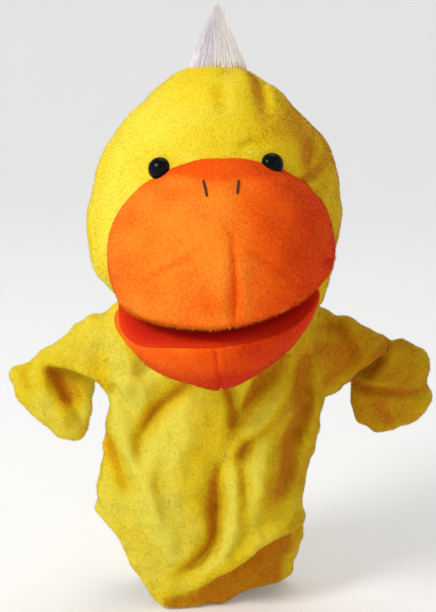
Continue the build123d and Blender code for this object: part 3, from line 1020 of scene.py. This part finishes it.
def jaw_outside(p):
    x, r, angle = jaw_polar(p)
    low = smoothstep(np.degrees(angle), 20, 72)
    across = np.abs((x - JAW_X + 3.6 * low) / (60.6 - 1.5 * low))
    k = (across ** (1.85 - 0.3 * low) + (r / jaw_reach(angle)) ** 2.0) ** 0.5
    f = (k - 1) * 50
    seam = 0.8 * np.exp(-(((x + 3.0) / 7.0) ** 2)) - 1.5 * np.exp(-(((x + 3.0) / 1.1) ** 2))
    seam -= 0.5 * np.exp(-(((x - 3.0) / 1.2) ** 2))
    return f - seam - beak_lumps.at(p) * 0.3


# The jaw's upper face drops away from the fold more steeply towards the corners
jaw_x = np.array([-68, -61, -56, -50, -42, -32, -22, -8, 2, 14, 30, 44, 54, 60, 68])
jaw_drop = np.array([60, 50, 41, 33, 24.5, 19, 16.8, 15.9, 15.8, 15.6, 16.8, 19, 16, 13, 12])
jaw_even = evened(jaw_x, jaw_drop)


def jaw_top(x):
    """Angle of the jaw's upper face below the horizontal."""
    return np.radians(np.interp(x, lip_fine, jaw_even))


def above_jaw(p):
    """Height over the jaw's upper face, below 0 inside the jaw."""
    x, r, angle = jaw_polar(p)
    return r * np.sin(np.clip(jaw_top(x) - angle, -1.5, 1.5))


def jaw_field(p):
    _, r, angle = jaw_polar(p)
    f = soft_max(jaw_outside(p), above_jaw(p), 2.2)
    behind = r * np.sin(np.clip(angle - np.radians(84), -1.5, 1.5))
    return soft_max(f, behind, 4.0)


def beak_nap_and_shade(p):
    x, _, z = p.T
    # Painted shade in the beak's creases and painted highlight on its ridges, over the nap's own tone.
    value = 0.60 + 0.07 * beak_plan.at(x, z) + 0.03 * beak_nap_lumps.at(p)
    # A painted highlight left of the middle, a lighter spot near the lip on the left, and painted
    # shade under the tip.
    value += 0.16 * np.exp(-(((x + 14) / 30) ** 2 + ((z - 258) / 24) ** 2))
    value += 0.10 * np.exp(-(((x + 40) / 18) ** 2 + ((z - 216) / 9) ** 2))
    value -= 0.06 * np.exp(-(((x + 10) / 14) ** 2 + ((z - 221) / 8) ** 2))
    # Painted shade: darker on the right, away from the light.
    value -= 0.42 * smoothstep(x, 2, 56)
    # Darker in a band at the top.
    value -= 0.20 * smoothstep(z, 286, 290)
    return np.clip(value, 0.03, 0.97)


def lip_nap_and_shade(p):
    # Painted shade: the lip fringe darkens to the right, away from the light.
    value = 0.85 - 0.5 * smoothstep(p[:, 0], -10, 50) + 0.2 * beak_nap_lumps.at(p * 2.5)
    return np.clip(value, 0.03, 0.97)


def jaw_nap_and_shade(p):
    # Painted shade: darker on the right, away from the light, and underneath the jaw.
    value = 0.46 + 0.03 * beak_nap_lumps.at(p) - 0.40 * smoothstep(p[:, 0], -34, 40)
    value -= 0.25 * smoothstep(184 - p[:, 2], 0, 16)
    return np.clip(value, 0.03, 0.97)


beak_nap_lumps = Lumps(22, 30.0)
BEAK_STEP = 1.25
ub_v, ub_f = polygonise(upper_beak_field, (-74, -126, 200), (74, -40, 304), BEAK_STEP)
ub_n = normals_of(ub_v, ub_f)
upper_beak = mesh_object("upper_beak", ub_v, ub_f, [orange], marks={"nap": beak_nap_and_shade(ub_v)})
lb_v, lb_f = polygonise(jaw_field, (-70, -120, 146), (70, -44, 222), BEAK_STEP)
lb_n = normals_of(lb_v, lb_f)
lower_beak = mesh_object("lower_beak", lb_v, lb_f, [orange], marks={"nap": jaw_nap_and_shade(lb_v)})


# Mouth linings, each a sheet just over its recess
def grid_mesh(rows):
    """Quads over a grid of points given as rows."""
    pts = np.array(rows)
    n, m = pts.shape[:2]
    i = np.arange(n * m).reshape(n, m)
    quads = np.stack([i[:-1, :-1], i[1:, :-1], i[1:, 1:], i[:-1, 1:]], -1).reshape(-1, 4)
    return pts.reshape(-1, 3), quads


def palate(upper):
    """Half oval sheet from the mouth fold to the lip."""
    rows = []
    for t in np.linspace(0.0, 1.0, 40):
        row = []
        for s in np.linspace(-1, 1, 80):
            if upper:
                x = 2.0 + s * 58.0
                edge = math.sqrt(max(1 - abs(s * 0.95) ** 1.9, 0.0))
                z = lip_height(np.array([x]))[0] + 5.6
                crease = fold_z + 0.6 + x * math.tan(math.radians(JAW_TILT))
                row.append((x, fold_y - t * edge * 56.0, z + (crease - z) * (1 - t) ** 2))
            else:
                x = JAW_X + s * 58.2
                edge = math.sqrt(max(1 - (abs(s) * 58.2 / 60.4) ** 1.85, 0.0))
                angle = jaw_top(np.array([x]))[0]
                r = t * edge * (jaw_reach(angle) - 1.3)
                lift = 0.7 * math.sin(math.pi * min(t * 1.02, 1.0)) + 0.35
                y = fold_y - r * math.cos(angle) - lift * math.sin(angle)
                row.append((x, y, fold_z - r * math.sin(angle) + lift * math.cos(angle)))
        rows.append(row)
    v, f = grid_mesh(rows)
    return (v, f[:, ::-1]) if upper else (tilted(v, -JAW_TILT, fold_z), f)


pu_v, pu_f = palate(True)
# Painted shade: the upper palate takes the lining's deepest tone all over.
upper_palate_shade = {"nap": np.full(len(pu_v), 0.25)}
upper_palate = mesh_object("upper_palate", pu_v, pu_f, [lining], marks=upper_palate_shade)
pl_v, pl_f = palate(False)
# Painted shade: the lower palate is darker towards the back of the mouth and to the right, and lighter
# towards the lip.
near_lip = np.hypot(fold_y - pl_v[:, 1], (pl_v[:, 0] + 1) * 0.9) / 56.0
palate_shade = 0.85 * smoothstep(near_lip, 0.62, 1.0) - 0.10 - 0.22 * smoothstep(pl_v[:, 0], -35, 45)
lower_palate = mesh_object("lower_palate", pl_v, pl_f, [lining], marks={"nap": palate_shade})


# Throat: soft cloth behind the lower beak
def throat_field(p):
    x, y, z = p.T
    k = ((x + 1) / 50.0) ** 2 + ((z - 213) / 48.0) ** 2
    sides = (np.sqrt(k) - 1) * 42
    f = soft_max(soft_max(sides, np.abs(y + 39.5) - 18, 8.0), z - 206, 6.0)
    return f - lumps_small.at(p) * 0.5


th_v, th_f = polygonise(throat_field, (-62, -66, 156), (62, -14, 214), 2.4)
th_centre = th_v[th_f].mean(1)
in_mouth = (th_centre[:, 1] < -46) & (th_centre[:, 2] > 192)
throat = mesh_object(
    "throat", th_v, th_f, [yellow, lining], slots=in_mouth.astype(int), marks={"nap": nap_and_shade_at(th_v)}
)


# ------------------------------------------------------------ eyes and nostrils


def surface_point(field, x, z, start=-135.0):
    """Where a line going back from the front first meets a surface, and its normal."""
    y = np.arange(start, 0, 0.25)
    p = np.stack([np.full_like(y, x), y, np.full_like(y, z)], 1)
    hit = p[np.argmax(field(p) < 0)]
    g = gradient(field, hit[None])[0]
    return hit, g / np.linalg.norm(g)


def lathe(profile, origin, axis, turns=64):
    """A turned form: profile holds (radius, height along the axis)."""
    axis = np.array(axis) / np.linalg.norm(axis)
    u = np.cross(axis, [0, 0, 1.0])
    u /= np.linalg.norm(u)
    v = np.cross(axis, u)
    rows = []
    for k in range(turns + 1):
        a = 2 * np.pi * (k % turns) / turns
        d = u * math.cos(a) + v * math.sin(a)
        rows.append([origin + d * r + axis * h for r, h in profile])
    return grid_mesh(rows)


eye_material = new_material(
    "eye_plastic",
    {"Base Color": (0.003, 0.0025, 0.003, 1), "Roughness": 0.16, "Specular IOR Level": 0.1},
)
scuffs = bumps(eye_material, noise(eye_material, None, 700.0), 0.03, 0.0002)
shade(eye_material, {"Normal": scuffs})

eyes = {}
for name, x, z in (("left", -33.3, 290.0), ("right", 30.8, 292.5)):
    spot, out = surface_point(body_outside, x, z)
    out = out * np.array([1, 1, 0.55])
    out /= np.linalg.norm(out)
    profile = [(0.0, -2.0), (6.5, -2.0), (6.7, -0.4), (6.6, 0.5)]
    arc = np.linspace(0, math.pi / 2, 14)
    profile += [(6.45 * math.cos(a), 0.7 + 5.0 * math.sin(a)) for a in arc]
    v, f = lathe(profile, spot - out * 0.3, out)
    eyes[name] = mesh_object("eye_" + name + "_dome", v, f, [eye_material])

thread_dark = new_material("dark_thread", {"Base Color": srgb(74, 22, 10), "Roughness": 0.7})


def thread_tube(name, path, radius, material, strands=3, twist=0.9):
    """A twisted thread along a path: each strand is a thin tube round it."""
    line = curve_through(path, 8)
    tangent = unit(np.gradient(line, axis=0))
    side = unit(np.cross(tangent, [0, 0, 1.0]))
    up = np.cross(side, tangent)
    run = run_along(line)
    all_v, all_f = [], []
    for s in range(strands):
        a = run * twist + 2 * np.pi * s / strands
        middle = line + (side * np.cos(a)[:, None] + up * np.sin(a)[:, None]) * radius * 0.5
        rows = []
        ends = np.sqrt(np.clip(np.sin(np.linspace(0, np.pi, len(line))) * 1.8 + 0.12, 0, 1))
        wide = (radius * 0.62 * ends)[:, None]
        for k in range(9):
            b = 2 * np.pi * (k % 8) / 8
            rows.append(middle + (side * math.cos(b) + up * math.sin(b)) * wide)
        v, f = grid_mesh(rows)
        all_f.append(f + sum(len(x) for x in all_v))
        all_v.append(v)
    return mesh_object(name, np.vstack(all_v), np.vstack(all_f), [material])


nostrils = {}
for name, ends in (
    ("left", ((-8.2, 287.6), (-7.0, 284.0), (-6.0, 280.0))),
    ("right", ((11.4, 287.4), (11.0, 284.5), (10.6, 281.2))),
):
    path = []
    for x, z in ends:
        spot, out = surface_point(upper_beak_field, x, z)
        path.append(spot + out * 0.35)
    nostrils[name] = thread_tube("nostril_" + name, path, 0.75, thread_dark)


# ------------------------------------------------------------------------ tuft

white_tones = fibres(
    "white_pile",
    [(228, 220, 230), (242, 236, 240), (252, 247, 243), (253, 247, 236), (250, 234, 180)],
    rough=0.7,
    sheen=0.6,
)
# The pure whites glow a little, so that they stay white in their own shade
glow = {"Emission Color": (1, 0.98, 0.95, 1), "Emission Strength": 0.10}
for m in white_tones[:4]:
    shade(m, glow)
tuft_rows = np.array(
    [(333, 17.5), (341.6, 16.6), (349, 13.2), (356.4, 9.6), (364.4, 5.6), (372.4, 2.4), (378.5, 0.5)]
)
TUFT_Y, TUFT_FOOT, TUFT_TIP = head_y + 6, 333, 378.5


def tuft_mid(z):
    """The tuft leans, and its tip hooks a little to the right."""
    t = (z - TUFT_FOOT) / 45
    return np.stack([0.5 - 2.6 * t + 1.6 * t**4, TUFT_Y - 2.0 * t], -1)


def tuft_ring(mid, width, cosine, sine, zs):
    """Points round the tuft, which is flatter from front to back."""
    return np.stack([mid[:, 0] + width * cosine, mid[:, 1] + width * sine * 0.8, zs], 1)


def tuft_strands(seed, count):
    rng = np.random.default_rng(seed)
    points, quads, tone = [], [], []
    levels = 7
    for i in range(count):
        a = rng.uniform(0, 2 * np.pi)
        rho = math.sqrt(rng.uniform(0.0, 1.0))
        if rho > 0.3:
            top = TUFT_FOOT + 45.5 * (1 - 0.55 * rho**1.6 * rng.uniform(0.35, 1.0))
        else:
            top = TUFT_TIP - rng.uniform(0, 9)
        zs = np.linspace(331, top, levels)
        width = np.interp(zs, tuft_rows[:, 0], tuft_rows[:, 1]) * rho
        swing = a + 0.5 * (zs - TUFT_FOOT) / 45 * rng.normal(0.3, 0.5)
        mid = tuft_mid(zs)
        line = tuft_ring(mid, width, np.cos(swing), np.sin(swing), zs)
        line += rng.normal(0, 0.15, line.shape)
        stray = 2.6 if rng.random() < 0.12 else 0.9
        line[:, 0] += np.linspace(0, 1, levels) ** 2 * rng.normal(0, stray)
        line[:, 1] += np.linspace(0, 1, levels) ** 2 * rng.normal(0, stray)
        thick = 0.2 * (1 - np.linspace(0, 1, levels) ** 2.2) + 0.03
        for j in range(levels):
            for k in range(3):
                b = 2 * np.pi * k / 3 + a
                points.append(line[j] + thick[j] * np.array([math.cos(b), math.sin(b), 0]))
        # Painted shade: strands on the left take the greyer tone and those on the right the whiter
        # ones.
        tone_i = 0 if math.cos(a) < -0.2 else (1 if math.cos(a) < 0.35 else 2)
        tone_i = int(np.clip(tone_i + (1 if rng.random() < 0.35 else 0), 0, 3))
        first = len(points) - levels * 3
        for j in range(levels - 1):
            rooted = j < 2 and line[j][0] > -7
            for k in range(3):
                a0 = first + j * 3 + k
                a1 = first + j * 3 + (k + 1) % 3
                quads.append((a0, a1, a1 + 3, a0 + 3))
                tone.append(4 if rooted else tone_i)
    return np.array(points), np.array(quads), tone


t_v, t_f, t_tone = tuft_strands(31, 4200)
tuft_hair = mesh_object("tuft_strands", t_v, t_f, white_tones, slots=t_tone)
rows = []
for k in range(49):
    a = 2 * np.pi * (k % 48) / 48
    zs = np.linspace(330, 377.5, 30)
    width = np.interp(zs, tuft_rows[:, 0], tuft_rows[:, 1]) * 0.74
    width = width * (1 + 0.05 * np.sin(9 * a + zs * 0.15))
    mid = tuft_mid(zs)
    rows.append(tuft_ring(mid, width, math.cos(a), math.sin(a), zs))
c_v, c_f = grid_mesh(rows)
white_core = new_material("white_pile_core", {"Roughness": 0.7})
where = add(white_core, "TexCoord").outputs["Object"]
stretch = add(white_core, "Mapping", {"Scale": (1.0, 1.0, 0.08), "Vector": where})
hairs = noise(white_core, stretch.outputs["Vector"], 1500.0)
white = ramp(white_core, hairs, (0.3, srgb(216, 210, 224)), (0.75, srgb(246, 242, 238)))
shade(white_core, {"Base Color": white})
tuft_core = mesh_object("tuft_core", c_v, c_f, [white_core])

# ------------------------------------------------------------------------ pile


def body_down(root):
    """The nap lies down and outwards from the crown."""
    way = np.zeros_like(root)
    way[:, 2] = -1.0
    way[:, 0] = root[:, 0] * 0.006
    return way


def halves(key, f, first):
    """Two sets of faces, so that no pile is too large for its file."""
    return [(key + "_a", f[first]), (key + "_b", f[~first])]


piles = {}
body_tones = yellow_tones + shaded_tones
for number, name in enumerate(
    ("torso_skin", "neck_lower", "neck_upper", "head_skin", *arm_names, "hem_turning")
):
    v, f, n, _ = roots[name]
    middle = v[f].mean(1)
    shares = [(name, f)]
    if name == "torso_skin":
        shares = halves(name, f, middle[:, 1] < 0)
    elif name == "head_skin":
        shares = halves(name, f, middle[:, 0] < -1)
    for key, some in shares:
        piles[key] = pile(
            "pile_" + key, v, some, n, body_tones, nap_and_shade_at, 1.4, 1.6, 0.7, body_down, 100 + number,
            painted_shade=painted_shade_at,
        )
DOWN = (0, 0, -1.0)
ub_mid = ub_v[ub_f].mean(1)
for key, some in halves("upper_beak", ub_f, ub_mid[:, 0] < 1):
    piles[key] = pile(
        "pile_" + key, ub_v, some, ub_n, orange_tones, beak_nap_and_shade, 1.7, 1.4, 0.68, DOWN, 120
    )
jaw_front = lb_f[above_jaw(lb_v[lb_f].mean(1)) < -1.6]
piles["lower_beak"] = pile(
    "pile_lower_beak", lb_v, jaw_front, lb_n, orange_tones, jaw_nap_and_shade, 1.6, 1.2, 0.7, DOWN, 121
)
lip_edge = (ub_mid[:, 2] < lip_height(ub_mid[:, 0]) + 3.5) & (upper_beak_outside(ub_mid) > -3.0)
piles["lip_fringe"] = pile(
    "lip_fringe", ub_v, ub_f[lip_edge], ub_n, orange_tones[1:], lip_nap_and_shade, 1.5, 2.7, 0.5,
    (0, -0.5, -1.0), 122, thick=0.17
)

# ------------------------------------------------------------- riding and names

rides = {
    "torso_skin": "torso",
    "torso_lining": "torso",
    "hem_turning": "torso",
    "head_skin": "head",
    "hand_cavity": "head",
}
# The pieces across a joint: from body, to body, and where the change starts and ends
blends = {
    "neck_lower": ("torso", "neck", (0, 0, COLLAR), (0, 0, NAPE)),
    "neck_upper": ("neck", "head", (0, 0, NAPE), (0, 0, CHIN)),
    "hand_skin_left": ("arm_left", "hand_left", (-100, 0, 154), (-105.4, 0, 143.3)),
    "hand_skin_right": ("arm_right", "hand_right", (96, 0, 154), (105.6, 0, 146.8)),
    "throat": ("head", "jaw", (0, -36, 206), (0, -62, 186)),
}
stands_for = {
    "torso_skin": ["torso_front_panel", "torso_back_panel"],
    "hem_turning": ["hem_band"],
    "neck_lower": ["neck_tube"],
    "head_skin": ["head_cover_left", "head_cover_right", "head_cover_back", "head_stuffing"],
    "hand_cavity": ["finger_pocket"],
}
for level in ("lower", "upper"):
    blends["neck_lining_" + level] = blends["neck_" + level]
for name, side in (("left", -1), ("right", 1)):
    start, end = (side * ARMHOLE, 0, 160), (side * 86, 0, 160)
    blends["sleeve_skin_" + name] = ("torso", "arm_" + name, start, end)
    for limb in ("sleeve", "hand"):
        stands_for["%s_skin_%s" % (limb, name)] = [
            "%s_%s_%s" % (limb, layer, name) for layer in ("cover", "filling")
        ]


def at(x, y, z):
    return (x * MM, y * MM, z * MM)


def attach(obj, key):
    """Rides a piece on its body, or else bakes its placing into its points."""
    if key in rides:
        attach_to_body(obj, rides[key])
    else:
        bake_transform(obj)


def place(obj, body, slot, *nodes):
    """Rides a piece on a body and hides the CAD nodes it stands for. The slot is not used."""
    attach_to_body(obj, body)
    if nodes:
        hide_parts(*nodes)


for key, obj in skin.items():
    attach(obj, key)
    if key in stands_for:
        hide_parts(*stands_for[key])
for key, obj in piles.items():
    zone = key[:-2] if key[-2:] in ("_a", "_b") else key
    if zone in ("upper_beak", "lip_fringe"):
        place(obj, "head", "orange_plush")
    elif zone == "lower_beak":
        place(obj, "jaw", "orange_plush")
    else:
        attach(obj, zone)

place(
    upper_beak, "head", "orange_plush",
    "upper_beak_cover_left", "upper_beak_cover_right", "upper_beak_stuffing",
)
place(
    lower_beak, "jaw", "orange_plush",
    "lower_beak_cover_left", "lower_beak_cover_right", "lower_beak_stuffing", "thumb_pocket",
)
place(upper_palate, "head", "mouth_lining", "upper_palate_lining", "upper_mouth_board")
place(lower_palate, "jaw", "mouth_lining", "lower_palate_lining", "lower_mouth_board")
attach(throat, "throat")
for name in ("left", "right"):
    place(eyes[name], "head", "eye_black", "eye_" + name, "eye_washer_" + name)
    place(nostrils[name], "head", "thread", "nostril_stitch_" + name)
place(tuft_hair, "head", "white_pile")
place(tuft_core, "head", "white_pile", "tuft")

# ------------------------------------------------------------ stage and camera


pale = new_material(
    "pale_floor",
    {
        "Base Color": (0.92, 0.92, 0.92, 1),
        "Roughness": 0.9,
        "Emission Color": (1, 1, 1, 1),
        "Emission Strength": 0.10,
    },
)
# A floor that rises into a wall all round: radius and height
FLOOR_Z = -0.8
bowl = [(1.0, FLOOR_Z)]
bowl += [(r, FLOOR_Z + 2400 * ((r - 1200) / 2100) ** 2.4) for r in np.linspace(1200, 3300, 40)]
turns = np.linspace(0, 2 * math.pi, 97)
s_v, s_f = grid_mesh([[(r * math.cos(a), r * math.sin(a), z) for r, z in bowl] for a in turns])
floor = mesh_object("floor", s_v, s_f[:, ::-1], [pale])


def area_light(name, where, size, power, colour):
    """A round light that points at the middle of the puppet."""
    data = bpy.data.lights.new(name, "AREA")
    data.shape = "DISK"
    data.size = size
    data.energy = power
    data.color = colour
    obj = bpy.data.objects.new(name, data)
    obj.location = where
    obj.rotation_euler = (Vector((0, 0, 0.2)) - Vector(where)).to_track_quat("-Z", "Y").to_euler()
    bpy.context.scene.collection.objects.link(obj)


area_light("key", (-1.3, -1.0, 1.5), 0.7, 23.5, (1.0, 0.985, 0.95))
area_light("fill", (1.5, -1.3, 0.7), 1.4, 1.0, (1.0, 0.95, 0.88))
area_light("top", (0.2, 0.6, 1.8), 1.2, 6, (0.95, 0.97, 1.0))
world = bpy.data.worlds.new("studio")
bpy.context.scene.world = world
world.use_nodes = True
fill(world.node_tree.nodes["Background"], {"Color": (1, 1, 1, 1), "Strength": 0.40})

camera_data = bpy.data.cameras.new("camera")
camera = bpy.data.objects.new("camera", camera_data)
bpy.context.scene.collection.objects.link(camera)
ELEVATION, DISTANCE = math.radians(15.0), 1.0
target = Vector((0.0, -0.040, 0.2015))
camera.location = target + DISTANCE * Vector((0, -math.cos(ELEVATION), math.sin(ELEVATION)))
camera.rotation_euler = (target - camera.location).to_track_quat("-Z", "Y").to_euler()
SENSOR, FOCAL_PIXELS, PHOTO_HEIGHT = 24.0, 1675.0, 612.0
camera_data.sensor_fit = "VERTICAL"
camera_data.sensor_height = SENSOR
camera_data.lens = SENSOR * FOCAL_PIXELS / PHOTO_HEIGHT
camera_data.clip_start = 0.05
camera_data.clip_end = 50.0
bpy.context.scene.camera = camera
bpy.context.scene.view_settings.view_transform = "Standard"
